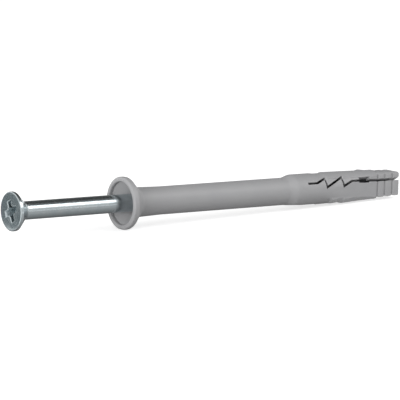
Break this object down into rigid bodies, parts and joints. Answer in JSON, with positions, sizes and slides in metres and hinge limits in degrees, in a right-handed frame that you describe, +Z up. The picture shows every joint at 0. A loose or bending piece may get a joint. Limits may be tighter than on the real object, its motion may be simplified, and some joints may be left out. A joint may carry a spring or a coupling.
{
  "type": "hammer fixing plug",
  "caption": "Hammer fixing: a nylon sleeve with a countersunk collar and zigzag-slotted barbed jaws, and a zinc-plated nail-screw that drives in to spread them.",
  "frame": {"origin": "centre of the collar's front plane, on the plug's axis", "axes": "+X along the plug from the nail's head to the tip, dipped about 2 degrees as the plug lies; +Z up"},
  "size_m": [0.1094, 0.0122, 0.012],
  "materials": {
    "nylon": "moulded grey nylon, satin",
    "zinc": "bright zinc plating"
  },
  "bodies": {
    "sleeve": {"sleeve": "nylon"},
    "nail": {"nail_screw": "zinc"}
  },
  "joints": [
    {"name": "nail_drive", "type": "slide", "parent": "sleeve", "child": "nail", "axis": [0.9995, 0, -0.0332], "range_m": [0, 0.0293]}
  ]
}
